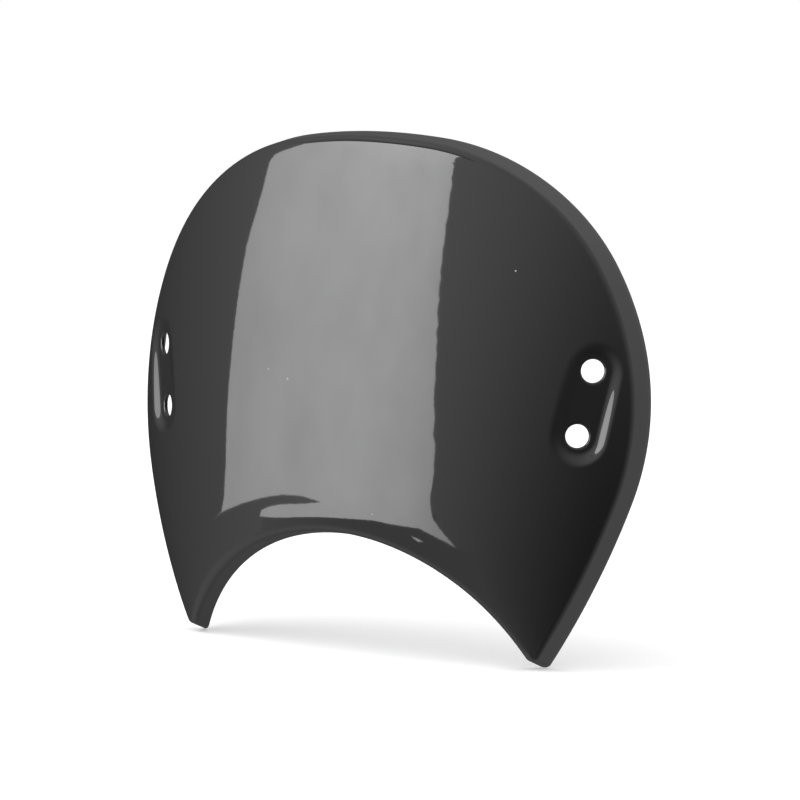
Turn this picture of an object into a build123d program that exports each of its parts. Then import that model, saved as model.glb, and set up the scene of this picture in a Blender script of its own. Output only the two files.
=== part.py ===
from build123d import *
from math import acos, asin, cos, degrees, radians, sin, tan
import os

# A headlight cowl: one moulded shell that sits over the top of a round motorbike lamp.
# Millimetres, +Z up, front towards -Y, mirror plane X = 0, draw direction of the mould along Y.
# The shell is drawn about the panel's nose point and then moved, so that its box is centred on the origin.

# Front panel: a barrel surface, bent round an axis that leans back from the upright
panel_radius_across = 203.0
panel_radius_down = 560.0
panel_lean = 11.2

# Outline in front view, on the flat plane that just touches the front of the panel
crown_height = 30.3
crown_radius = 218.0
crown_half_angle = 8.7
shoulder_radius = 91.5
shoulder_turn = 54.8
flank_radius = 133.0
flank_turn = 41.6
side_radius = 305.0
arch_radius = 104.0
arch_drop = 238.5

# Wall and the rim that is turned back all round
wall = 2.0
rim_depth = 13.8
rim_draft = 10.0
rim_easing = 7.0
crease_radius = 2.5
tip_radius = 3.5
least_inner_radius = 0.5

# Dished pads, one on each side, with a pair of holes along each
pad_inset = 8.6
pad_drop = 69.8
pad_twist = 5.9
pad_depth = 2.0
pad_width = 19.5
pad_wall_angle = 45.0
pad_rim_radius = 3.5
pad_floor_radius = 2.0
hole_spacing = 28.0
hole_diameter = 10.0

# Lengths that only have to run clear of the shell
clear_length = 60.0
pad_clear_height = 5.0
barrel_reach_up = 90.0
barrel_reach_down = 250.0


def barrel_sag(drop, inset=0.0):
    """How far the panel falls back from its nose point, at a height along its axis."""
    down = panel_radius_down - inset
    return panel_radius_down - (down ** 2 - drop ** 2) ** 0.5


def barrel(inset=0.0, across=panel_radius_across):
    """Solid behind the panel surface: an arc profile turned about the leaning axis."""
    low = (barrel_sag(barrel_reach_down, inset), -barrel_reach_down)
    high = (barrel_sag(barrel_reach_up, inset), barrel_reach_up)
    edge = ThreePointArc(low, (inset, 0), high)
    sides = Polyline(high, (across, barrel_reach_up), (across, -barrel_reach_down), low)
    profile = Plane.YZ * make_face([edge, sides])
    turned = revolve(profile, Axis((0, across, 0), (0, 0, 1)), 360)
    return Rot(X=-panel_lean) * turned


def nose_y():
    """How far the panel bulges forward of the point where its axis angle is measured."""
    return panel_radius_down * (cos(radians(panel_lean)) - 1)


def front_outline(grow=0.0):
    """Crown, shoulders, flanks and sides as tangent arcs, closed level with the arch's centre."""
    crown = JernArc((0, crown_height + grow), (1, 0), crown_radius + grow, -crown_half_angle)
    shoulder = JernArc(crown @ 1, crown % 1, shoulder_radius + grow, -shoulder_turn)
    flank = JernArc(shoulder @ 1, shoulder % 1, flank_radius + grow, -flank_turn)
    turned = crown_half_angle + shoulder_turn + flank_turn
    fall = ((flank @ 1).Y + arch_drop) / (side_radius + grow)
    side_turn = degrees(acos(cos(radians(turned)) - fall)) - turned
    side = JernArc(flank @ 1, flank % 1, side_radius + grow, -side_turn)
    half = Curve() + [crown, shoulder, flank, side, Line(side @ 1, (0, -arch_drop))]
    return make_face(half + mirror(half, Plane.YZ))


def across_plane(y):
    """Plane square to the draw direction, drawn with X to the right and Z up."""
    return Plane((0, y, 0), (1, 0, 0), (0, -1, 0))


def drafted_block(inset=0.0):
    """The outline drawn back along Y, flaring by the draft, less the arch, behind the panel surface."""
    flare = clear_length * tan(radians(rim_draft))
    side_inset = inset / cos(radians(rim_draft))
    near = across_plane(nose_y()) * front_outline(-side_inset)
    far = across_plane(nose_y() + clear_length) * front_outline(flare - side_inset)
    plug = loft([near, far], ruled=True)
    near_radius = arch_radius + side_inset
    arch = Cone(near_radius - flare, near_radius, clear_length, align=(Align.CENTER, Align.CENTER, Align.MAX))
    arch = across_plane(nose_y()) * Pos(0, -arch_drop, 0) * arch
    plug = plug - arch
    tips = plug.edges().sort_by(Axis.Z)[:2]
    return fillet(tips, inner_radius(tip_radius, inset)) & barrel(inset)


def inner_radius(radius, inset):
    """Radius of an edge after the skin has moved in by the inset."""
    return max(radius - inset, least_inner_radius)


def half_width():
    """Widest reach of the outline to one side, on the plane it is drawn on."""
    crown_reach = (crown_radius - shoulder_radius) * sin(radians(crown_half_angle))
    shoulder_reach = (shoulder_radius - flank_radius) * sin(radians(crown_half_angle + shoulder_turn))
    return crown_reach + shoulder_reach + flank_radius


def pad_frame():
    """Plane that touches the panel at the right pad: X across the pad, Y along its holes, Z out of the panel."""
    tilt = asin(pad_drop / panel_radius_down)
    touch_radius = panel_radius_across - barrel_sag(pad_drop)
    turn = degrees(asin((half_width() - pad_inset) / touch_radius))
    touch = Plane((0, -touch_radius, -pad_drop), (1, 0, 0), (0, -cos(tilt), -sin(tilt)))
    around = Rot(X=-panel_lean) * Pos(0, panel_radius_across, 0) * Rot(Z=turn)
    return Plane(around * touch.location * Rot(Z=-pad_twist))


def pad_slot(width, height):
    """Round-ended slot round both holes, at a height above the touching plane."""
    return pad_frame() * Pos(0, 0, height) * SlotCenterToCenter(hole_spacing, width, rotation=90)


def pad_recess(inset=0.0):
    """Shallow dish with sloping walls round the right pad's holes."""
    slope = radians(pad_wall_angle)
    floor_width = pad_width - 2 * pad_depth / tan(slope) + 2 * inset * tan(slope / 2)
    floor = -pad_depth - inset
    top_width = floor_width + 2 * (pad_clear_height - floor) / tan(slope)
    return loft([pad_slot(floor_width, floor), pad_slot(top_width, pad_clear_height)], ruled=True)


def dished(block, recess):
    """Block with the recess cut into it on both sides."""
    return block - recess - mirror(recess, Plane.YZ)


def front_face(block):
    """The panel itself: the face that passes closest to the nose point."""
    return block.faces().sort_by_distance((0, 0, 0))[0]


def outer_form():
    """Outside of the shell: a rounded crease all round, and dishes softened at the floor and at the rim."""
    block = drafted_block()
    block = fillet(front_face(block).edges(), crease_radius)
    recess = pad_recess()
    floor = recess.faces().sort_by(Axis(pad_frame().origin, pad_frame().z_dir))[0]
    block = dished(block, fillet(floor.edges(), pad_floor_radius))
    rims = [edge for wire in front_face(block).inner_wires() for edge in wire.edges()]
    return fillet(rims, pad_rim_radius)


def inner_form():
    """Inside of the shell: the same faces one wall further in, meeting in plain edges."""
    return dished(drafted_block(wall), pad_recess(wall))


def pad_holes():
    """Pair of holes square through the right pad."""
    drill = Cylinder(hole_diameter / 2, 2 * clear_length)
    return [pad_frame() * Pos(0, end * hole_spacing / 2, 0) * drill for end in (-1, 1)]


def make_cowl():
    """Outer form cut off behind its rim, hollowed by the inner form, with the pads drilled."""
    behind_rim = Pos(0, rim_depth, 0) * barrel(across=panel_radius_across + rim_easing)
    shell = outer_form() - behind_rim - inner_form()
    for drill in pad_holes():
        shell = shell - drill - mirror(drill, Plane.YZ)
    return shell


shell = make_cowl()
box_centre = shell.bounding_box().center()
cowl = Pos(-box_centre) * shell

os.makedirs("parts", exist_ok=True)
export_step(cowl, "parts/cowl.step")
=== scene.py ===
from functools import partial
from math import asin, cos, e, hypot, pi, radians, sin, tan

import bpy
import numpy as np
from mathutils import Matrix, Vector


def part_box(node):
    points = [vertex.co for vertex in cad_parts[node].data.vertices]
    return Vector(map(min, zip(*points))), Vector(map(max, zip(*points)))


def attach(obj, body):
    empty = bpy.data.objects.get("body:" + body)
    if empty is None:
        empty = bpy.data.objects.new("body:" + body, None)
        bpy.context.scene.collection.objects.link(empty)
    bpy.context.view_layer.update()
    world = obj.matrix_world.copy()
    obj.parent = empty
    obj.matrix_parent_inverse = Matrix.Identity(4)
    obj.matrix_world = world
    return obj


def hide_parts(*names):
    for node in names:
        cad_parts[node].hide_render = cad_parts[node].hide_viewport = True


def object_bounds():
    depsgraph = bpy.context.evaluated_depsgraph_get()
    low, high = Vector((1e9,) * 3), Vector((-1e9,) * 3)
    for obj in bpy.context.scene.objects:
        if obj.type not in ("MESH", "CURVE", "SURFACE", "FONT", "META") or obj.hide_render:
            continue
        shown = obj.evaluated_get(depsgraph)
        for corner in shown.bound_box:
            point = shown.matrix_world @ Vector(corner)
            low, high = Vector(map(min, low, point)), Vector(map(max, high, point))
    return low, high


bl_info = {
    "name": "Headlight cowl",
    "version": (1, 0, 0),
    "blender": (4, 5, 0),
    "location": "3D View > Sidebar > Cowl",
    "description": "Builds a gloss black headlight cowl as one moulded shell, and a small studio round it",
    "category": "Add Mesh",
}

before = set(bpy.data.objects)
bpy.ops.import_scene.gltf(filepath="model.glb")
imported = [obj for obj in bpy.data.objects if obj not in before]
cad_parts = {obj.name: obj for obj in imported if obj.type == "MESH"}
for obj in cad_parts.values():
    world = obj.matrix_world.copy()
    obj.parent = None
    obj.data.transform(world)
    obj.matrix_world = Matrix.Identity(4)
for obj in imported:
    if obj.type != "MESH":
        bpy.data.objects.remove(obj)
CAD_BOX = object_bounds()
NODE = "cowl"
MM = 0.001
BACK = np.array([0.0, 1.0, 0.0])
UP = np.array([0.0, 0.0, 1.0])
MIRROR = np.array([-1.0, 1.0, 1.0])
WHITE = (1.0, 1.0, 1.0, 1.0)

# Width of the camera's sensor in millimetres
SENSOR = 36.0

# Nudge for differences, in metres, and rounds of Newton's steps for points, the crease and the back edge
STEP = 1e-6
POINT_ROUNDS = 10
CREASE_ROUNDS = 40
EDGE_ROUNDS = 15

# Numbers of the outline's last three arcs, which follow the crown, the shoulder and the flank
SIDE, TIP, ARCH = 3, 4, 5

# Shares of the side and of the arch over which their creases change to the tip's
SIDE_FADE = 0.25
ARCH_FADE = 0.3

# How strongly columns crowd towards the tip, and the panel's and the crease's rows towards their ends
COLUMN_CROWDING = 1.5
ROW_CROWDING = 0.72
CREASE_CROWDING = 0.9

# How firmly a column leaves the arch and meets the outline squarely, as a share of its length
COLUMN_PULL = 0.9


def length(name, millimetres, description):
    """A size in metres, written in millimetres."""
    return bpy.props.FloatProperty(
        name=name, description=description, default=millimetres * MM, unit="LENGTH", precision=4
    )


def point(name, millimetres, description):
    """A point in metres, written in millimetres."""
    metres = [part * MM for part in millimetres]
    return bpy.props.FloatVectorProperty(
        name=name, description=description, default=metres, subtype="TRANSLATION", precision=4
    )


def angle(name, degrees, description):
    """An angle, written in degrees."""
    return bpy.props.FloatProperty(
        name=name, description=description, default=radians(degrees), subtype="ANGLE"
    )


def count(name, default, description):
    """A number of steps in a mesh."""
    return bpy.props.IntProperty(name=name, description=description, default=default, min=2)


def plain(name, default, description):
    """A number without a unit."""
    return bpy.props.FloatProperty(name=name, description=description, default=default, precision=3)


def colour(name, default, description):
    """A colour in linear light."""
    return bpy.props.FloatVectorProperty(
        name=name, description=description, default=default, subtype="COLOR", min=0.0, max=1.0
    )


class CowlShape(bpy.types.PropertyGroup):
    """Sizes of the panel, its outline and the rim that is turned back from it."""

    panel_across: length("Panel radius across", 203.0, "Bend of the panel from side to side")
    panel_down: length("Panel radius down", 560.0, "Bend of the panel from top to bottom")
    lean: angle("Lean", 11.2, "How far the panel's axis leans back from the upright")
    crown_height: length("Crown height", 30.3, "Top of the outline above the panel's nose point")
    crown_radius: length("Crown radius", 218.0, "Arc over the middle of the top edge")
    crown_half_angle: angle("Crown half angle", 8.7, "Turn of the crown's arc to one side")
    shoulder_radius: length("Shoulder radius", 91.5, "Arc of the upper corner")
    shoulder_turn: angle("Shoulder turn", 54.8, "Turn of the shoulder's arc")
    flank_radius: length("Flank radius", 133.0, "Arc of the widest part of the side")
    flank_turn: angle("Flank turn", 41.6, "Turn of the flank's arc")
    side_radius: length("Side radius", 305.0, "Shallow arc from the flank to the tip")
    arch_radius: length("Arch radius", 104.0, "Arch over the lamp, where the panel stands furthest forward")
    arch_drop: length("Arch drop", 238.5, "Centre of the arch below the nose point")
    wall: length("Wall", 2.0, "Thickness of the shell")
    rim_depth: length("Rim depth", 13.8, "How far the rim runs back behind the panel")
    rim_draft: angle("Rim draft", 10.0, "Flare of the rim away from the draw direction")
    rim_easing: length("Rim easing", 7.0, "How much flatter the rim's back edge is bent than the panel")
    crease_radius: length("Crease radius", 4.5, "Round between the panel and the rim")
    tip_crease: length("Tip crease", 2.8, "The same round at the tips")
    lip_radius: length("Lip radius", 4.5, "The same round along the arch")
    tip_radius: length("Tip radius", 3.5, "Round of each lower tip")
    edge_radius: length("Edge radius", 0.5, "Round of the rim's back edges")
    lip_roll: length("Lip roll", 1.2, "How far the panel rolls back just at the arch")
    lip_reach: length("Lip reach", 7.0, "Distance from the arch over which that roll dies away")
    edge_roll: length("Edge roll", 0.6, "How far the panel rolls back just at the outline")
    edge_reach: length("Edge reach", 5.0, "Distance from the outline over which that roll dies away")


class CowlPads(bpy.types.PropertyGroup):
    """Sizes of the dished pad on each side and of its two holes."""

    inset: length("Inset", 8.6, "Centre of the pad inside the widest reach of the outline")
    drop: length("Drop", 69.8, "Centre of the pad below the nose point, along the panel's axis")
    twist: angle("Twist", 5.9, "Turn of the pad in the panel")
    depth: length("Depth", 1.77, "Floor of the dish below the panel, half way between the holes")
    deepening: plain("Deepening", 0.17, "Share of depth that the lower hole gains and the upper one lacks")
    floor_reach: length("Floor reach", 6.6, "Half width of the floor")
    rim_reach: length("Rim reach", 12.4, "Half width of the dish where it meets the panel")
    shift: length("Shift", 0.8, "Middle of the dish outside the line between the holes")
    cant: angle("Cant", 5.0, "How far the floor is turned outwards from the panel")
    inner_ease: length("Inner ease", 1.5, "How much wider the dish's wall is towards the middle of the panel")
    hole_spacing: length("Hole spacing", 28.0, "Distance between the two holes")
    hole_diameter: length("Hole diameter", 10.0, "Bore of each hole")
    hole_edge: length("Hole edge", 0.7, "Round of the hole's edges")


class CowlMesh(bpy.types.PropertyGroup):
    """Steps of the mesh."""

    columns: count("Columns", 150, "Steps from the middle of the outline to one tip")
    rows: count("Rows", 72, "Steps from the arch to the outline")
    crease_rows: count("Crease rows", 12, "Steps round the crease")
    rim_rows: count("Rim rows", 5, "Steps along the rim")
    blend_rows: count("Blend rows", 5, "Steps from the panel's grid to a dish")
    dish_rows: count("Dish rows", 24, "Steps down the dish's wall")
    floor_rows: count("Floor rows", 2, "Steps over the dish's floor to the holes")
    bridge_columns: count("Bridge columns", 12, "Steps across the bridge between two holes")
    edge_rows: count("Edge rows", 3, "Steps round each small edge")


class CowlFinish(bpy.types.PropertyGroup):
    """Colour and gloss of the plastic."""

    black: colour("Black", (0.004, 0.004, 0.0045), "Colour of the plastic")
    refraction: plain("Refraction", 1.5, "Refractive index of the plastic")
    roughness: plain("Roughness", 0.03, "Blur of the gloss")
    roughness_spread: plain("Roughness spread", 0.02, "How much the blur varies")
    haze_size: length("Haze size", 25.0, "Size of the patches in which it varies")
    peel_size: length("Peel size", 3.0, "Size of the faint ripple in the gloss")
    peel_height: length("Peel height", 0.003, "Height of that ripple")
    grain_size: length("Grain size", 1.6, "Size of the finer grain on that ripple")
    grain_share: plain("Grain share", 0.5, "Height of the grain as a share of the ripple's")
    dust: colour("Dust", (0.30, 0.30, 0.29), "Colour of the few dust specks")
    speck_cell: length("Speck cell", 11.0, "Size of the cells that the specks are strewn in")
    speck_size: plain("Speck size", 0.035, "Radius of a speck as a share of its cell")
    speck_rarity: plain("Speck rarity", 0.93, "Share of the cells that have no speck")
    speck_roughness: plain("Speck roughness", 0.5, "Blur that a speck adds")


class CowlStudio(bpy.types.PropertyGroup):
    """Camera, light and floor."""

    azimuth: angle("Azimuth", 29.853, "Camera to the right of straight ahead")
    elevation: angle("Elevation", 4.580, "Camera above the horizon")
    roll: angle("Roll", 1.510, "Turn of the camera about its own axis")
    distance: length("Distance", 1456.8, "Camera from the point it looks at")
    target_right: length("Target right", 16.25, "Point looked at, to the camera's right of the cowl's centre")
    target_up: length("Target up", -2.90, "Point looked at, above the cowl's centre")
    lens: plain("Lens", 151.44, "Focal length in millimetres")
    nose: point("Nose point", (0.0, -17.72, 76.93), "The panel's nose point, from the cowl's centre")
    box_azimuth: angle("Softbox azimuth", -36.6, "Direction in which the softbox stands")
    box_distance: length("Softbox distance", 354.0, "Softbox from the panel's nose point")
    box_brightness: plain("Softbox brightness", 7.2, "Brightness of the softbox, where 1 is white")
    box_middle: length("Softbox middle", -110.0, "Brightest line of the softbox, left of the nose point")
    box_fall: plain("Softbox fall", 4.5, "Fall of brightness with the square of the distance from that line")
    box_rise: plain("Softbox rise", 0.6, "How much the softbox brightens with each metre of height")
    box_mottle: plain("Softbox mottle", 0.32, "How unevenly the softbox's cloth glows")
    mottle_scale: plain("Mottle scale", 9.0, "Patches of that unevenness in a metre")
    box_steps: count("Softbox steps", 61, "Steps in the softbox's right edge")
    box_sway: length("Softbox sway", 3.0, "How far that edge sways")
    flag_gap: length("Flag gap", 4.0, "Cloths above and below the softbox, behind its face")
    flag_dark: plain("Flag dark", 0.82, "Brightness of those cloths at the right end")
    flag_light: plain("Flag light", 1.0, "The same at the left end")
    flag_start: length("Flag start", -150.0, "Where they begin to brighten, left of the nose point")
    flag_end: length("Flag end", 110.0, "Where they have brightened")
    world_base: plain("Base", 0.83, "Brightness of the studio all round, where 1 is white")
    world_tilt: plain("Tilt", 0.34, "How much the studio brightens upwards")
    world_glow: plain("Glow", 0.70, "Brightness that the studio gains round the softbox")
    glow_azimuth: angle("Glow azimuth", -45.0, "Direction of that glow")
    glow_focus: plain("Glow focus", 1.0, "How quickly the glow falls away")
    near_shade: plain("Near shade", 0.78, "Share of the brightness missing to the right of the camera")
    near_azimuth: angle("Near azimuth", 52.0, "Direction of that shade")
    near_elevation: angle("Near elevation", -18.0, "Height of that direction")
    near_focus: plain("Near focus", 4.2, "How quickly the near shade falls away")
    far_shade: plain("Far shade", 0.94, "Share of the brightness missing to the left, behind the cowl")
    far_azimuth: angle("Far azimuth", -129.0, "Direction of that shade")
    far_elevation: angle("Far elevation", -9.0, "Height of that direction")
    far_focus: plain("Far focus", 1.05, "How quickly the far shade falls away")
    world_table: plain("Table", 0.38, "Brightness that the studio gains over the table in front of the cowl")
    table_azimuth: angle("Table azimuth", -54.0, "Direction of that table")
    table_elevation: angle("Table elevation", -62.0, "Height of that direction")
    table_focus: plain("Table focus", 4.0, "How quickly the table's brightness falls away")
    floor_size: length("Floor size", 6000.0, "Side of the floor")
    floor_colour: colour("Floor colour", (0.86, 0.86, 0.86), "Colour of the floor")
    floor_lift: plain("Floor lift", 0.25, "Light that the camera sees on the floor besides what falls on it")
    lamp_size: length("Lamp size", 1200.0, "Side of the lamp overhead")
    lamp_power: plain("Lamp power", 12.0, "Power of the lamp in watts")
    lamp_place: point("Lamp place", (-900.0, -700.0, 1600.0), "Where the lamp hangs, facing the cowl")


def unit(vectors):
    """Vectors made one long."""
    return vectors / np.linalg.norm(vectors, axis=-1)[..., None]


def dot(first, second):
    """Products of matching vectors."""
    return (first * second).sum(-1)


def direction(angles):
    """Unit vectors (sin, cos) in the front view, for angles from the upright, clockwise."""
    return np.stack([np.sin(angles), np.cos(angles)], -1)


def graded(steps, crowding):
    """Shares from 0 to 1, closer together at both ends: t - crowding * sin(2 pi t) / (2 pi)."""
    even = np.linspace(0.0, 1.0, steps + 1)
    return even - crowding * np.sin(2 * pi * even) / (2 * pi)


def slope_of(gap, points):
    """Gradient of a gap, by differences."""
    nudges = STEP * np.eye(3)
    return np.stack([gap(points + nudge) - gap(points - nudge) for nudge in nudges], -1) / (2 * STEP)


def slide_onto(gap, points, along):
    """Points moved along a direction until their gap is nought, by Newton's steps."""
    for _ in range(POINT_ROUNDS):
        points = points - (gap(points) / dot(slope_of(gap, points), along))[..., None] * along
    return points


def nose_depth(shape):
    """Where the panel stands furthest forward, measured from its nose point."""
    return shape.panel_down * (cos(shape.lean) - 1.0)


def barrel_gap(shape, across, points):
    """Distance of points in front of a barrel: from the leaning axis, less the radius at that height.

    The radius follows an arc: across - down + sqrt(down^2 - height^2).
    """
    upright_y = points[..., 1] * cos(shape.lean) - points[..., 2] * sin(shape.lean)
    upright_z = points[..., 1] * sin(shape.lean) + points[..., 2] * cos(shape.lean)
    radius = across - shape.panel_down + np.sqrt(shape.panel_down**2 - upright_z**2)
    return np.hypot(points[..., 0], across - upright_y) - radius


def grown(shape, depth):
    """How far the outline has flared outwards at a depth."""
    return (depth - nose_depth(shape)) * tan(shape.rim_draft)


def outline_arcs(shape):
    """Radii, starting angles and centres of crown, shoulder, flank and side.

    They are drawn where the panel stands furthest forward. The arcs touch, so each centre lies on the line
    through the centre before it and the point where the two arcs meet.
    """
    radii = np.array([shape.crown_radius, shape.shoulder_radius, shape.flank_radius, shape.side_radius])
    turns = np.cumsum([0.0, shape.crown_half_angle, shape.shoulder_turn, shape.flank_turn])
    steps = -np.diff(radii)[:, None] * direction(turns[1:])
    crown = np.array([0.0, shape.crown_height - shape.crown_radius])
    return radii, turns, crown + np.vstack([np.zeros(2), steps.cumsum(0)])


def from_outline(shape, points):
    """Distance of points inside the outline, measured from the arc whose fan of normals they lie in."""
    radii, turns, centres = outline_arcs(shape)
    away = np.stack([np.abs(points[..., 0]), points[..., 2]], -1)[..., None, :] - centres
    inside = radii + grown(shape, points[..., 1])[..., None] - np.linalg.norm(away, axis=-1)
    fan = np.arctan2(away[..., 0], away[..., 1]) < np.r_[turns[1:], pi]
    return np.take_along_axis(inside, np.argmax(fan, -1)[..., None], -1)[..., 0]


def panel_gap(shape, points):
    """Distance of points in front of the panel: the barrel's, rolled back along outline and arch.

    Both rolls move the panel back by depth * exp(-distance from the edge / reach).
    """
    arch = np.hypot(points[..., 0], points[..., 2] + shape.arch_drop) - shape.arch_radius
    arch = arch + grown(shape, points[..., 1])
    edge = from_outline(shape, points)
    roll = shape.lip_roll * np.exp(-np.maximum(arch, 0.0) / shape.lip_reach)
    roll = roll + shape.edge_roll * np.exp(-np.maximum(edge, 0.0) / shape.edge_reach)
    return barrel_gap(shape, shape.panel_across, points - roll[..., None] * BACK)


def rear_gap(shape, points):
    """Distance of points in front of the surface that the rim's back edge lies on."""
    return barrel_gap(shape, shape.panel_across + shape.rim_easing, points - shape.rim_depth * BACK)


class HalfOutline:
    """Right half of the rim's outline at any depth: centre + radius * direction(angle), arc by arc.

    It runs clockwise from the middle of the crown over shoulder, flank, side and tip and back along the arch,
    whose radius counts as negative. The tip's round keeps its radius and touches the side and the arch, so
    its centre moves while they flare.
    """

    def __init__(self, shape, mesh):
        self.shape = shape
        self.radii, self.turns, self.centres = outline_arcs(shape)
        self.arch_centre = np.array([0.0, -shape.arch_drop])
        _, side_end, tip_end = self.tip(np.zeros(1))
        bounds = np.r_[self.turns, side_end]
        lengths = np.cumsum(np.r_[0.0, self.radii * np.diff(bounds)])
        share = np.linspace(1.0, 0.0, mesh.columns + 1)
        arch_length = shape.arch_radius * (tip_end[0] - pi)
        from_tip = arch_length * share + (lengths[-1] - arch_length) * share**COLUMN_CROWDING
        outer = np.interp(lengths[-1] - from_tip, lengths, np.arange(TIP + 1))
        outer[-1] = TIP
        tip = TIP + np.linspace(0.0, 1.0, mesh.rows + 1)[1:-1]
        arch = ARCH + np.linspace(0.0, 1.0, mesh.columns + 1)
        place = np.r_[outer, tip, arch]
        self.arc = np.minimum(place.astype(int), ARCH)
        self.arc[mesh.columns] = SIDE
        self.share = place - self.arc
        knots = [0.0, TIP - SIDE_FADE, TIP, ARCH, ARCH + ARCH_FADE]
        rounds = [shape.crease_radius] * 2 + [shape.tip_crease] * 2 + [shape.lip_radius]
        self.crease = np.interp(place, knots, rounds)

    def tip(self, grow):
        """Centre of the tip's round, and the angles at which it leaves the side and meets the arch.

        The centre is where two circles cross: one inside the side's arc and one outside the arch, both by the
        tip's radius.
        """
        shape = self.shape
        inside = self.radii[SIDE] + grow - shape.tip_radius
        outside = shape.arch_radius - grow + shape.tip_radius
        across = self.arch_centre - self.centres[SIDE]
        apart = hypot(*across)
        along = ((inside**2 - outside**2 + apart**2) / (2 * apart))[:, None]
        beside = np.sqrt(inside[:, None] ** 2 - along**2) * np.array([-across[1], across[0]]) / apart
        centre = self.centres[SIDE] + along * across / apart + beside
        side_end = np.arctan2(*(centre - self.centres[SIDE]).T)
        tip_end = np.arctan2(*(self.arch_centre - centre).T) + 2 * pi
        return centre, side_end, tip_end

    def at(self, depth):
        """Points of the outline at their depths, and the directions that point out of it."""
        grow = grown(self.shape, depth)
        tip_centre, side_end, tip_end = self.tip(grow)
        row = np.arange(len(depth))
        level = np.ones(len(depth))
        bounds = np.stack([*(level * turn for turn in self.turns), side_end, tip_end, level * pi])
        angles = bounds[self.arc, row] + self.share * (bounds[self.arc + 1, row] - bounds[self.arc, row])
        flared = [radius + grow for radius in self.radii]
        radii = np.stack([*flared, level * self.shape.tip_radius, grow - self.shape.arch_radius])
        fixed = np.vstack([self.centres, self.arch_centre])[:, None] + np.zeros((len(depth), 2))
        centres = np.insert(fixed, TIP, tip_centre, axis=0)
        outward = direction(angles)
        flat = centres[self.arc, row] + radii[self.arc, row][:, None] * outward
        return np.insert(flat, 1, depth, axis=1), np.insert(outward, 1, 0.0, axis=1)

    def follow(self, depth):
        """Points and outward directions at their depths, and the way that the wall runs back from them."""
        points, outward = self.at(depth)
        return points, outward, (self.at(depth + STEP)[0] - points) / STEP


def rim_rows(shape, mesh, outline):
    """Rows of the rim, from the panel's edge round the crease and back along the drafted wall.

    The crease is a ball rolled between wall and panel: it touches the wall, and slides along it until it
    touches the panel too. Between the two touching points the rows turn evenly about the ball's centre. The
    directions that point out of the outline are given too.
    """
    gap, rear, radius = partial(panel_gap, shape), partial(rear_gap, shape), outline.crease[:, None]
    depth = np.full(len(outline.arc), nose_depth(shape) + shape.rim_depth)
    touch = -BACK
    for _ in range(CREASE_ROUNDS):
        points, outward, back = outline.follow(depth)
        wall_normal = unit(outward - dot(back, outward)[:, None] * BACK)
        centre = points - radius * wall_normal
        foot = centre + radius * touch
        slope = slope_of(gap, foot)
        depth = depth - gap(foot) / dot(slope, back)
        touch = unit(slope)

    whole = np.arccos(dot(touch, wall_normal))[:, None]
    share = graded(mesh.crease_rows, CREASE_CROWDING)[:, None, None]
    turned = (np.sin((1 - share) * whole) * touch + np.sin(share * whole) * wall_normal) / np.sin(whole)
    end = depth + shape.rim_depth
    for _ in range(EDGE_ROUNDS):
        points, _, back = outline.follow(end)
        end = end - rear(points) / dot(slope_of(rear, points), back)
    end = end - shape.edge_radius
    share = np.linspace(0.0, 1.0, mesh.rim_rows + 1)[1:]
    wall = [outline.at(depth + part * (end - depth))[0] for part in share]
    return np.concatenate([centre + radius * turned, wall]), outward


def panel_grid(shape, mesh, foot, outward):
    """Points of the panel, columns from the middle to the tip and rows from the arch to the outline.

    In the front view each column is a cubic that leaves the arch and meets the outline squarely; its depth is
    then found on the panel. The last column is the tip's own round.
    """
    columns, rows = mesh.columns, mesh.rows
    top = foot[: columns + 1]
    tip = foot[columns : columns + rows + 1][::-1]
    bottom = foot[columns + rows :][::-1]
    top_normal = outward[: columns + 1]
    bottom_normal = outward[columns + rows :][::-1]
    pull = COLUMN_PULL * np.linalg.norm((top - bottom)[:, ::2], axis=1)[:, None]
    share = graded(rows, ROW_CROWDING)[:, None, None]
    points = (
        (2 * share**3 - 3 * share**2 + 1) * bottom
        - (share**3 - 2 * share**2 + share) * pull * bottom_normal
        + (3 * share**2 - 2 * share**3) * top
        + (share**3 - share**2) * pull * top_normal
    ).swapaxes(0, 1)
    points = slide_onto(partial(panel_gap, shape), points, BACK)
    points[:, 0] = bottom
    points[:, -1] = top
    points[-1] = tip
    return points


def pad_axes(shape, pads):
    """Point where the right pad's plane touches the panel, and its axes: across, along the holes, and out.

    The plane starts at the barrel's front, is turned round the leaning axis and tilted along its arc.
    """
    crown_reach = (shape.crown_radius - shape.shoulder_radius) * sin(shape.crown_half_angle)
    shoulder_angle = shape.crown_half_angle + shape.shoulder_turn
    shoulder_reach = (shape.shoulder_radius - shape.flank_radius) * sin(shoulder_angle)
    half_width = crown_reach + shoulder_reach + shape.flank_radius
    tilt = asin(pads.drop / shape.panel_down)
    touch_radius = shape.panel_across - shape.panel_down * (1.0 - cos(tilt))
    turn = asin((half_width - pads.inset) / touch_radius)
    place = Matrix.Rotation(-shape.lean, 4, "X") @ Matrix.Translation((0.0, shape.panel_across, 0.0))
    place = place @ Matrix.Rotation(turn, 4, "Z") @ Matrix.Translation((0.0, -touch_radius, -pads.drop))
    place = place @ Matrix.Rotation(tilt, 4, "X") @ Matrix.Rotation(pi / 2, 4, "X")
    place = np.array(place @ Matrix.Rotation(-pads.twist, 4, "Z"))
    return place[:3, 3], place[:3, :3].T


def from_slot(pads, spots):
    """Distance of spots of the pad's plane from the line between the holes' centres."""
    beyond = np.maximum(np.abs(spots[..., 1]) - pads.hole_spacing / 2, 0.0)
    return np.hypot(spots[..., 0], beyond)


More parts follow.
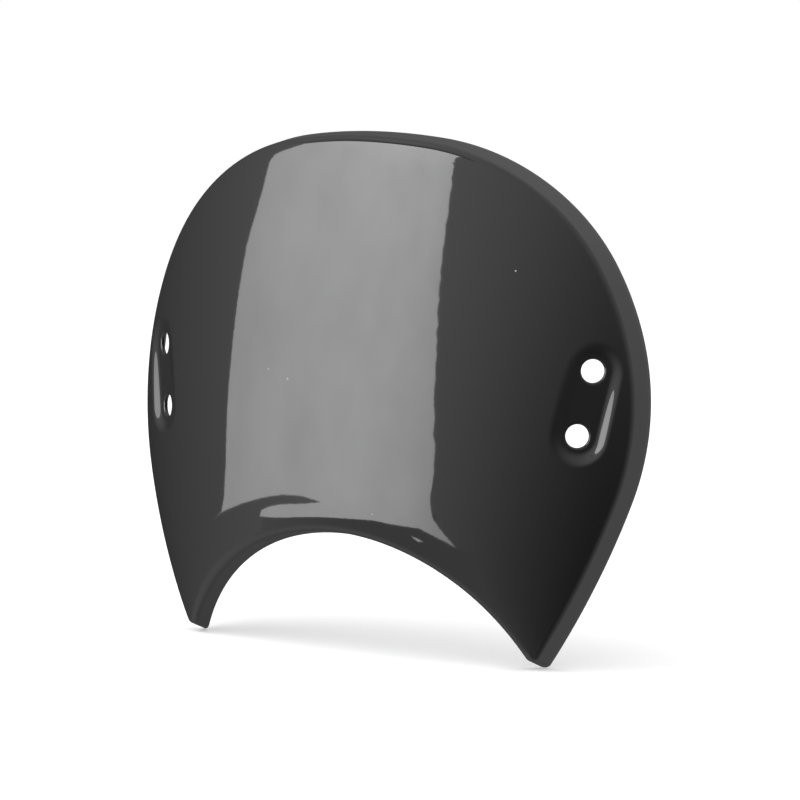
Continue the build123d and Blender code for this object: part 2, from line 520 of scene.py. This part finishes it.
def dish(pads, spots):
    """Share of the way from the panel to the floor, and the floor's depth, at spots of the pad's plane.

    The share is a half wave, 0.5 + 0.5 * cos, between the floor's edge and the rim, which lies further off on
    the inner side. The floor slopes down to the lower hole and to the outside.
    """
    shifted = spots - [pads.shift, 0.0]
    reach = np.maximum(from_slot(pads, shifted), STEP)
    rim = pads.rim_reach + pads.inner_ease * (0.5 - 0.5 * shifted[..., 0] / reach)
    part = np.clip((reach - pads.floor_reach) / (rim - pads.floor_reach), 0.0, 1.0)
    gain = 1.0 - pads.deepening * spots[..., 1] / (pads.hole_spacing / 2)
    return 0.5 + 0.5 * np.cos(pi * part), pads.depth * gain + tan(pads.cant) * spots[..., 0]


def raised(shape, pads, spots):
    """Points over spots of the pad's plane: the panel, sunk to the dish's floor by the dish's share."""
    origin, axes = pad_axes(shape, pads)
    points = origin + spots @ axes[:2]
    onto = slide_onto(partial(panel_gap, shape), points, axes[2])
    panel = (onto - points) @ axes[2]
    share, depth = dish(pads, spots)
    return points + ((1.0 - share) * panel - share * depth)[..., None] * axes[2]


def stadium(pads, widest, reach, place):
    """Spots at a distance from the line between the holes, told by their place along the widest ring.

    The place counts from the foot of the right side, up it, over the top, down the left side and round the
    bottom. Three rounds are laid out, so that places before and after the first round are found too.
    """
    half = pads.hole_spacing / 2
    end = pi * widest
    knots = np.cumsum(np.r_[-4 * half - 2 * end, np.tile([2 * half, end], 6)])
    turns = np.repeat(pi * np.arange(-2, 5), 2)[: len(knots)]
    slides = np.tile([-half, half, half, -half], 4)[: len(knots)]
    turn, slide = np.interp(place, knots, turns), np.interp(place, knots, slides)
    return np.stack([reach * np.cos(turn), slide + reach * np.sin(turn)], -1)


def ring_places(pads, widest, border, steps):
    """Places along the widest ring for a border's spots: spread evenly, and nearest to each spot."""
    half = pads.hole_spacing / 2
    eighth = pi / 4 * widest
    lengths = np.tile([eighth, 2 * half, eighth, 2 * eighth], 2)
    around = lengths.sum()
    knots = np.cumsum(np.r_[0, steps])
    even = np.interp(np.arange(len(border)), knots, np.cumsum(np.r_[0, lengths]) - eighth)
    level = np.clip(border[:, 1], -half, half)
    rise = level + widest * np.arctan2(border[:, 1] - level, np.abs(border[:, 0]))
    nearest = np.where(border[:, 0] > 0, half + rise, around / 2 + half - rise)
    nearest = np.unwrap(nearest, period=around)
    return even, nearest + around * np.round((even - nearest).mean() / around)


def quads(first, second):
    """Faces between two rows of points that run side by side."""
    return np.stack([first[:-1], first[1:], second[1:], second[:-1]], -1)


def grid_quads(ids):
    """Faces of a grid of points."""
    return np.stack([ids[:-1, :-1], ids[1:, :-1], ids[1:, 1:], ids[:-1, 1:]], -1).reshape(-1, 4)


def closed(ids):
    """A loop of points with its first one repeated at the end."""
    return np.append(ids, ids[0])


class Skin:
    """Points and four-sided faces, gathered piece by piece."""

    def __init__(self):
        self.points = np.zeros((0, 3))
        self.faces = np.zeros((0, 4), int)

    def add_points(self, points):
        """Adds points of any grid shape, and gives their numbers in that shape."""
        ids = len(self.points) + np.arange(points[..., 0].size).reshape(points.shape[:-1])
        self.points = np.vstack([self.points, points.reshape(-1, 3)])
        return ids

    def add_faces(self, faces):
        """Adds faces."""
        self.faces = np.vstack([self.faces, faces.reshape(-1, 4)])

    def normals(self):
        """Unit normals at the points, as the sum over their faces."""
        a, b, c, d = (self.points[self.faces[:, k]] for k in range(4))
        face = np.cross(c - a, d - b)
        total = np.zeros_like(self.points)
        for k in range(4):
            np.add.at(total, self.faces[:, k], face)
        return unit(total)


def add_pad(skin, shape, pads, mesh, ids):
    """Cuts a block out of the panel's grid and fills it with the dish.

    Every ring is a stadium: the points at one distance from the line between the holes. The rings lead from
    the block's border in to the two holes, and a bridge of columns closes the floor between them. The grid's
    faces that are kept, the loops of the holes and the holes' centres are given back.
    """
    origin, axes = pad_axes(shape, pads)
    hole = pads.hole_diameter / 2 + pads.hole_edge
    half = pads.hole_spacing / 2
    widest = pads.rim_reach + pads.shift
    wall = np.linspace(widest, pads.floor_reach, mesh.dish_rows + 1)
    reaches = np.r_[wall, np.linspace(pads.floor_reach, hole, mesh.floor_rows + 1)[1:]]
    flat = (skin.points[ids] - origin) @ axes[:2].T
    i, j = np.nonzero((from_slot(pads, flat) < widest) | (dish(pads, flat)[0] > 0.0))
    i0, i1, j0, j1 = i.min() - 1, i.max() + 1, j.min() - 1, min(j.max() + 1, mesh.rows)
    high, wide = i1 - i0, j1 - j0
    kept = np.ones((ids.shape[0] - 1, ids.shape[1] - 1), bool)
    kept[i0:i1, j0:j1] = False

    border = np.concatenate([ids[i1:i0:-1, j1], ids[i0, j1:j0:-1], ids[i0:i1, j0], ids[i1, j0:j1]])
    corner = max(1, round(high * (pi / 4 * widest) / (2 * half + pi / 2 * widest)))
    straight = high - 2 * corner
    outer = (skin.points[border] - origin) @ axes[:2].T
    even, nearest = ring_places(pads, widest, outer, np.tile([corner, straight, corner, wide], 2))
    settle = np.linspace(0.0, 1.0, len(reaches))[:, None]
    places = nearest + settle * (even - nearest)
    rings = np.array([stadium(pads, widest, reach, place) for reach, place in zip(reaches, places)])
    blend = np.linspace(0.0, 1.0, mesh.blend_rows + 1)[1:-1, None, None]
    spots = np.concatenate([outer + blend * (rings[0] - outer), rings])
    rings = np.vstack([border, skin.add_points(raised(shape, pads, spots))])
    for first, second in zip(rings[:-1], rings[1:]):
        skin.add_faces(quads(closed(first), closed(second)))

    inner = rings[-1]
    right = inner[corner : corner + straight + 1]
    turned = corner + high + wide
    left = inner[turned : turned + straight + 1][::-1]
    across = hole * np.cos(np.linspace(0.0, pi, mesh.bridge_columns + 1))[1:-1, None]
    up = np.linspace(-1.0, 1.0, straight + 1) * (half - np.sqrt(hole**2 - across**2))
    spots = np.stack([np.broadcast_to(across, up.shape), up], -1)
    bridge = np.vstack([right, skin.add_points(raised(shape, pads, spots)), left])
    skin.add_faces(grid_quads(bridge.T[:, ::-1])[:, ::-1])

    upper = np.r_[inner[corner + straight : turned + 1], bridge[1:-1, -1][::-1]]
    lower = np.r_[inner[turned + straight :], inner[: corner + 1], bridge[1:-1, 0]]
    centres = [origin + end * half * axes[1] - pads.depth * axes[2] for end in (1, -1)]
    return kept, [upper, lower], centres


def half_skin(shape, pads, mesh):
    """Right half of the outer skin, with the rim's last two rows and the loops and centres of its holes."""
    rows, outward = rim_rows(shape, mesh, HalfOutline(shape, mesh))
    skin = Skin()
    ids = skin.add_points(panel_grid(shape, mesh, rows[0], outward))
    kept, holes, centres = add_pad(skin, shape, pads, mesh, ids)
    skin.add_faces(grid_quads(ids).reshape(*kept.shape, 4)[kept])
    edge = np.r_[ids[:, -1], ids[-1, -2:0:-1], ids[::-1, 0]]
    rim = np.vstack([edge, skin.add_points(rows[1:])])
    for first, second in zip(rim[:-1], rim[1:]):
        skin.add_faces(quads(first, second))
    return skin, rim[-2:], holes, centres


def whole_skin(shape, pads, mesh):
    """Outer skin of both halves, joined along the middle, and the edges that close it.

    Each edge is a loop of points with the direction in which the skin would run on, and the edge's radius.
    """
    half, rim, holes, centres = half_skin(shape, pads, mesh)
    used = np.unique(half.faces)
    number = np.full(len(half.points), -1)
    number[used] = np.arange(len(used))
    points = half.points[used]
    middle = np.abs(points[:, 0]) < STEP
    points[middle, 0] = 0.0
    twin = np.where(middle, np.arange(len(points)), len(points) + np.cumsum(~middle) - 1)

    skin = Skin()
    skin.add_points(np.vstack([points, points[~middle] * MIRROR]))
    faces = number[half.faces]
    skin.add_faces(np.vstack([faces, twin[faces][:, ::-1]]))
    inner_rim, end_rim = (np.r_[row, twin[row][-2:0:-1]] for row in number[rim])
    onward = skin.points[end_rim] - skin.points[inner_rim]
    edges = [(end_rim, onward, shape.edge_radius)]
    for loop, centre in zip(holes, centres):
        loop = number[loop]
        edges.append((loop, centre - skin.points[loop], pads.hole_edge))
        loop = twin[loop][::-1]
        edges.append((loop, centre * MIRROR - skin.points[loop], pads.hole_edge))
    return skin, edges


def cowl_shell(shape, pads, mesh):
    """Closed shell: the outer skin, the same skin one wall further in, and rounded strips along every edge.

    A strip goes round a quarter turn, straight across the wall and round another quarter turn. The shell is
    then moved so that its box has the same centre as the solid's.
    """
    skin, edges = whole_skin(shape, pads, mesh)
    normals = skin.normals()
    outside = len(skin.points)
    faces = skin.faces
    skin.add_points(skin.points - shape.wall * normals)
    skin.add_faces(faces[:, ::-1] + outside)
    for loop, onward, radius in edges:
        normal = normals[loop]
        onward = unit(onward - dot(onward, normal)[:, None] * normal)
        turn = np.linspace(0.0, pi / 2, mesh.edge_rows + 1)[1:, None, None]
        run = radius * np.sin(turn)
        sunk = radius * (1.0 - np.cos(turn))
        run, sunk = np.concatenate([run, run[::-1]]), np.concatenate([sunk, shape.wall - sunk[::-1]])
        strip = skin.add_points(skin.points[loop] + run * onward - sunk * normal)
        strip = np.vstack([loop, strip, loop + outside])
        for first, second in zip(strip[:-1], strip[1:]):
            skin.add_faces(quads(closed(first), closed(second)))
    low, high = (np.array(corner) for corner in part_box(NODE))
    skin.points += (low + high - skin.points.min(0) - skin.points.max(0)) / 2
    return skin


def maths(operation, reflected=False):
    """A method of Value that puts it and another number into a Math node, in this order or the other one."""

    def method(value, other):
        first, second = (other, value) if reflected else (value, other)
        return value.nodes.value("ShaderNodeMath", {"operation": operation}, {0: first, 1: second})

    return method


class Value:
    """A number in a node tree; sums with it add Math nodes."""

    def __init__(self, nodes, socket):
        self.nodes = nodes
        self.socket = socket

    __add__, __radd__ = maths("ADD"), maths("ADD", True)
    __sub__, __rsub__ = maths("SUBTRACT"), maths("SUBTRACT", True)
    __mul__, __rmul__ = maths("MULTIPLY"), maths("MULTIPLY", True)
    __pow__, __rpow__ = maths("POWER"), maths("POWER", True)
    __lt__, __gt__ = maths("LESS_THAN"), maths("GREATER_THAN")
    at_least = maths("MAXIMUM")


class Nodes:
    """Writes a node tree from its nodes' types, settings and inputs."""

    def __init__(self, tree):
        self.tree = tree
        tree.nodes.clear()

    def add(self, kind, settings=None, inputs=None):
        """A node with its settings, then its sockets set to numbers, colours or links."""
        node = self.tree.nodes.new(kind)
        for name, value in (settings or {}).items():
            setattr(node, name, value)
        for name, value in (inputs or {}).items():
            if isinstance(value, Value):
                value = value.socket
            if isinstance(value, bpy.types.NodeSocket):
                self.tree.links.new(value, node.inputs[name])
            else:
                node.inputs[name].default_value = value
        return node

    def value(self, kind, settings=None, inputs=None, output=0):
        """One output of a node, as a number."""
        return Value(self, self.add(kind, settings, inputs).outputs[output])

    def noise(self, place, **sockets):
        """Smooth noise between 0 and 1 over a place."""
        return self.value("ShaderNodeTexNoise", None, {"Vector": place, **sockets})

    def along(self, vector, way):
        """How far a vector reaches along a way."""
        return self.value("ShaderNodeVectorMath", {"operation": "DOT_PRODUCT"}, {0: vector, 1: way}, "Value")


def new_material(name):
    """A material and the writer of its empty node tree."""
    material = bpy.data.materials.new(name)
    material.use_nodes = True
    return material, Nodes(material.node_tree)


def gloss_black(finish):
    """Gloss black plastic: a faint ripple in the gloss, a blur that varies slowly, and a few specks of dust.

    The ripple's height is a coarse noise + grain_share * a finer one. A speck is the middle of a cell, in the
    few cells whose random number passes the rarity.
    """
    material, nodes = new_material("gloss_black")
    place = nodes.add("ShaderNodeTexCoord").outputs["Object"]
    haze = nodes.noise(place, Scale=1.0 / finish.haze_size, Detail=3.0)
    ripple = nodes.noise(place, Scale=1.0 / finish.peel_size, Detail=1.0)
    grain = nodes.noise(place, Scale=1.0 / finish.grain_size, Detail=0.0)
    cells = nodes.add("ShaderNodeTexVoronoi", None, {"Vector": place, "Scale": 1.0 / finish.speck_cell})
    distance = Value(nodes, cells.outputs["Distance"])
    chance = nodes.value("ShaderNodeSeparateColor", None, {"Color": cells.outputs["Color"]})
    speck = (distance < finish.speck_size) * (chance > finish.speck_rarity)
    tint = nodes.add(
        "ShaderNodeMix",
        {"data_type": "RGBA"},
        {"Factor": speck, "A": (*finish.black, 1.0), "B": (*finish.dust, 1.0)},
    )
    bump = nodes.add(
        "ShaderNodeBump",
        None,
        {"Strength": 1.0, "Distance": finish.peel_height, "Height": ripple + finish.grain_share * grain},
    )
    blur = finish.roughness + finish.roughness_spread * haze + finish.speck_roughness * speck
    shader = nodes.add(
        "ShaderNodeBsdfPrincipled",
        None,
        {
            "Base Color": tint.outputs["Result"],
            "Roughness": blur,
            "Normal": bump.outputs["Normal"],
            "IOR": finish.refraction,
        },
    )
    nodes.add("ShaderNodeOutputMaterial", None, {"Surface": shader.outputs["BSDF"]})
    return material


def link_mesh(name, points, faces, material):
    """A smooth mesh object in the scene, with its place in its mesh."""
    mesh = bpy.data.meshes.new(name)
    mesh.from_pydata(points.tolist(), [], faces.tolist())
    mesh.polygons.foreach_set("use_smooth", np.ones(len(faces), bool))
    mesh.materials.append(material)
    mesh.update()
    piece = bpy.data.objects.new(name, mesh)
    bpy.context.scene.collection.objects.link(piece)
    return piece


class CowlBuildShell(bpy.types.Operator):
    """Builds the moulded shell"""

    bl_idname = "cowl.build_shell"
    bl_label = "Build the shell"

    def execute(self, context):
        scene = context.scene
        shell = cowl_shell(scene.cowl_shape, scene.cowl_pads, scene.cowl_mesh)
        piece = link_mesh("cowl_shell", shell.points, shell.faces, gloss_black(scene.cowl_finish))
        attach(piece, "root")
        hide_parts(NODE)
        return {"FINISHED"}


def heading(azimuth, elevation=0.0):
    """Unit vector towards an azimuth, where 0 is straight out of the cowl's front, and an elevation."""
    return np.array([sin(azimuth) * cos(elevation), -cos(azimuth) * cos(elevation), sin(elevation)])


def light_world(studio):
    """Pale studio, brighter about the softbox and over the table, with two dim sides; white to the camera.

    Each bright or dim place is a lobe: the cosine of the angle to its middle, to the power of its focus. The
    room also brightens upwards, by e^(tilt * height).
    """
    world = bpy.data.worlds.new("studio")
    world.use_nodes = True
    bpy.context.scene.world = world
    nodes = Nodes(world.node_tree)
    towards = nodes.add("ShaderNodeTexCoord").outputs["Generated"]

    def lobe(middle, focus):
        return nodes.along(towards, middle).at_least(0.0) ** focus

    glow = lobe(heading(studio.glow_azimuth), studio.glow_focus)
    near = lobe(heading(studio.near_azimuth, studio.near_elevation), studio.near_focus)
    far = lobe(heading(studio.far_azimuth, studio.far_elevation), studio.far_focus)
    table = lobe(heading(studio.table_azimuth, studio.table_elevation), studio.table_focus)
    room = studio.world_base + studio.world_glow * glow
    room = room * (1.0 - studio.near_shade * near) * (1.0 - studio.far_shade * far)
    rise = e ** (studio.world_tilt * nodes.along(towards, UP))
    level = room * rise + studio.world_table * table
    ray = nodes.add("ShaderNodeLightPath").outputs
    seen = Value(nodes, ray["Is Camera Ray"]) + Value(nodes, ray["Is Transmission Ray"])
    studio_light = nodes.add("ShaderNodeBackground", None, {"Color": WHITE, "Strength": level})
    white = nodes.add("ShaderNodeBackground", None, {"Color": WHITE, "Strength": 1.0})
    mixed = nodes.add("ShaderNodeMixShader", None, {0: seen, 1: studio_light.outputs[0], 2: white.outputs[0]})
    nodes.add("ShaderNodeOutputWorld", None, {"Surface": mixed.outputs[0]})


def shine(nodes, strength):
    """Ends a material's node tree in white light."""
    light = nodes.add("ShaderNodeEmission", None, {"Color": WHITE, "Strength": strength})
    nodes.add("ShaderNodeOutputMaterial", None, {"Surface": light.outputs[0]})


def softbox_left(studio):
    """Level direction along the softbox's face, to the left of someone who looks at the cowl from there."""
    ahead = heading(studio.box_azimuth)
    return np.array([ahead[1], -ahead[0], 0.0])


def softbox_light(studio):
    """Mottled white light of the softbox, brightest up one line.

    It is brightness * cloth * e^(rise * height - fall * (distance from the line)^2).
    """
    material, nodes = new_material("softbox")
    place = nodes.add("ShaderNodeTexCoord").outputs["Object"]
    aside = nodes.along(place, softbox_left(studio)) - studio.box_middle
    mottle = nodes.noise(place, Scale=studio.mottle_scale, Detail=4.0, Roughness=0.6)
    cloth = (1.0 - 0.5 * studio.box_mottle) + studio.box_mottle * mottle
    fade = e ** (studio.box_rise * nodes.along(place, UP) - studio.box_fall * aside * aside)
    shine(nodes, studio.box_brightness * cloth * fade)
    return material


def flag_cloth(studio):
    """Plain dim cloth that hangs above and below the softbox and brightens to the left."""
    material, nodes = new_material("flag_cloth")
    place = nodes.add("ShaderNodeTexCoord").outputs["Object"]
    across = {
        "Value": nodes.along(place, softbox_left(studio)),
        "From Min": studio.flag_start,
        "From Max": studio.flag_end,
        "To Min": studio.flag_dark,
        "To Max": studio.flag_light,
    }
    shine(nodes, nodes.value("ShaderNodeMapRange", {"interpolation_type": "SMOOTHSTEP"}, across))
    return material


def pale_floor(studio):
    """Pale matt floor; where the camera sees it, it is lifted towards white and keeps its shadows."""
    material, nodes = new_material("pale_floor")
    matt = nodes.add("ShaderNodeBsdfDiffuse", None, {"Color": (*studio.floor_colour, 1.0)})
    seen = nodes.value("ShaderNodeLightPath", output="Is Camera Ray")
    lift = nodes.add("ShaderNodeEmission", None, {"Strength": studio.floor_lift * seen})
    both = nodes.add("ShaderNodeAddShader", None, {0: matt.outputs[0], 1: lift.outputs[0]})
    nodes.add("ShaderNodeOutputMaterial", None, {"Surface": both.outputs[0]})
    return material


# Corners of the cards in millimetres, left of the nose point and above it. The softbox is drawn down its left
# edge, in and out of the slit near its foot, along the foot, and up its right edge.
SOFTBOX_LEFT = (
    (60, 300), (100, 260), (143, 205), (167, 190), (190, 180), (206, 170), (210, 156), (204, 132),
    (200, 112), (204, 86), (213, 55), (215, 6), (217, -48), (220, -85), (226, -151), (236, -186),
    (247, -202), (282, -214),
)
SOFTBOX_SLIT = (
    (251, -204), (177, -191), (117, -183), (64, -179), (16, -182), (-25, -194), (17, -197), (64, -196),
    (101, -198), (118, -203), (121, -215),
)
SOFTBOX_FOOT = (
    (65, -229), (20, -235), (-67, -238), (-136, -233), (-166, -236), (-262, -239), (-312, -256), (-392, -284),
    (-339, -243), (-314, -218),
)
SOFTBOX_RIGHT = (
    (-311, -194), (-318, -140), (-309, -66), (-298, 27), (-288, 110), (-288, 202), (-286, 287), (-292, 312),
    (-322, 362), (-322, 390),
)
UPPER_FLAG = (
    (400, 330), (100, 268), (-322, 392), (-410, 422), (-410, 760), (-322, 680), (0, 560), (400, 800),
)
LOWER_FLAG = (
    (150, -700), (-480, -700), (-480, -310), (-392, -284), (-330, -250), (-330, -215), (113, -215),
)
GLINT = ((-231, -264), (-246, -266), (-265, -275), (-244, -277))
SWAY_SEED = 5


def softbox_corners(studio):
    """Corners of the softbox, where the cloth's right edge sways a little from step to step."""
    sides, heights = np.array(SOFTBOX_RIGHT, float).T
    steps = np.linspace(heights[0], heights[-1], studio.box_steps)
    sway = studio.box_sway / MM * np.random.default_rng(SWAY_SEED).uniform(-1.0, 1.0, len(steps))
    right = np.column_stack([np.interp(steps, heights, sides) + sway, steps])
    return np.vstack([SOFTBOX_LEFT, SOFTBOX_SLIT, SOFTBOX_FOOT, right])


def link_card(studio, name, spots, material, behind=0.0):
    """A card across the softbox's direction, in its plane or behind it; only the gloss shows it."""
    spots = np.array(spots) * MM
    middle = np.array(studio.nose) + (studio.box_distance + behind) * heading(studio.box_azimuth)
    corners = middle + spots[:, :1] * softbox_left(studio) + spots[:, 1:] * UP
    card = link_mesh(name, corners, np.arange(len(corners))[None], material)
    card.visible_camera = False
    card.visible_diffuse = False
    card.visible_shadow = False
    return card


def link_cards(studio):
    """The softbox with a small glint below it, and the dim cloths above and below it."""
    light, cloth = softbox_light(studio), flag_cloth(studio)
    return [
        link_card(studio, "softbox", softbox_corners(studio), light),
        link_card(studio, "glint", GLINT, light),
        link_card(studio, "upper_flag", UPPER_FLAG, cloth, studio.flag_gap),
        link_card(studio, "lower_flag", LOWER_FLAG, cloth, studio.flag_gap),
    ]


def link_floor(studio):
    """Square floor that the cowl stands on; the gloss doesn't show it."""
    side = studio.floor_size / 2
    square = np.array([[-side, -side], [side, -side], [side, side], [-side, side]])
    points = np.column_stack([square, np.full(len(square), CAD_BOX[0][2])])
    floor = link_mesh("floor", points, np.arange(len(square))[None], pale_floor(studio))
    floor.visible_glossy = False
    return floor


def link_lamp(studio):
    """Soft lamp overhead, which gives the cowl its shadow on the floor; the gloss doesn't show it."""
    lamp = bpy.data.objects.new("overhead", bpy.data.lights.new("overhead", "AREA"))
    lamp.data.size = studio.lamp_size
    lamp.data.energy = studio.lamp_power
    lamp.location = studio.lamp_place
    lamp.rotation_euler = (-lamp.location).to_track_quat("-Z", "Y").to_euler()
    lamp.visible_glossy = False
    bpy.context.scene.collection.objects.link(lamp)


def link_camera(studio):
    """Camera at its azimuth and elevation, aimed beside the cowl's centre and rolled about its own axis."""
    camera = bpy.data.objects.new("camera", bpy.data.cameras.new("camera"))
    camera.data.sensor_width = SENSOR
    camera.data.lens = studio.lens
    back = Vector(heading(studio.azimuth, studio.elevation))
    right = Vector((cos(studio.azimuth), sin(studio.azimuth), 0.0))
    up = back.cross(right)
    turned = Matrix((right, up, back)).transposed() @ Matrix.Rotation(studio.roll, 3, "Z")
    target = right * studio.target_right + Vector((0.0, 0.0, studio.target_up))
    camera.matrix_world = Matrix.Translation(target + back * studio.distance) @ turned.to_4x4()
    bpy.context.scene.collection.objects.link(camera)
    return camera


class CowlBuildStage(bpy.types.Operator):
    """Builds the floor, the light and the camera"""

    bl_idname = "cowl.build_stage"
    bl_label = "Build the stage"

    def execute(self, context):
        scene = context.scene
        studio = scene.cowl_studio
        floor = link_floor(studio)
        cards = link_cards(studio)
        light_world(studio)
        link_lamp(studio)
        scene.camera = link_camera(studio)
        scene.view_settings.view_transform = "Standard"
        return {"FINISHED"}


class CowlPanel(bpy.types.Panel):
    """Sizes and steps of the cowl"""

    bl_idname = "VIEW3D_PT_cowl"
    bl_label = "Headlight cowl"
    bl_space_type = "VIEW_3D"
    bl_region_type = "UI"
    bl_category = "Cowl"

    def draw(self, context):
        column = self.layout.column()
        for name in GROUPS:
            group = getattr(context.scene, name)
            for key in group.__annotations__:
                column.prop(group, key)
        for operator in OPERATORS:
            column.operator(operator.bl_idname)


GROUPS = {
    "cowl_shape": CowlShape,
    "cowl_pads": CowlPads,
    "cowl_mesh": CowlMesh,
    "cowl_finish": CowlFinish,
    "cowl_studio": CowlStudio,
}
OPERATORS = (CowlBuildShell, CowlBuildStage)


def register():
    for group in GROUPS.values():
        bpy.utils.register_class(group)
    for name, group in GROUPS.items():
        setattr(bpy.types.Scene, name, bpy.props.PointerProperty(type=group))
    for operator in OPERATORS:
        bpy.utils.register_class(operator)
    bpy.utils.register_class(CowlPanel)


def unregister():
    bpy.utils.unregister_class(CowlPanel)
    for operator in reversed(OPERATORS):
        bpy.utils.unregister_class(operator)
    for name in GROUPS:
        delattr(bpy.types.Scene, name)
    for group in reversed(GROUPS.values()):
        bpy.utils.unregister_class(group)


def main():
    register()
    bpy.ops.cowl.build_shell()
    bpy.ops.cowl.build_stage()


if __name__ == "__main__":
    main()
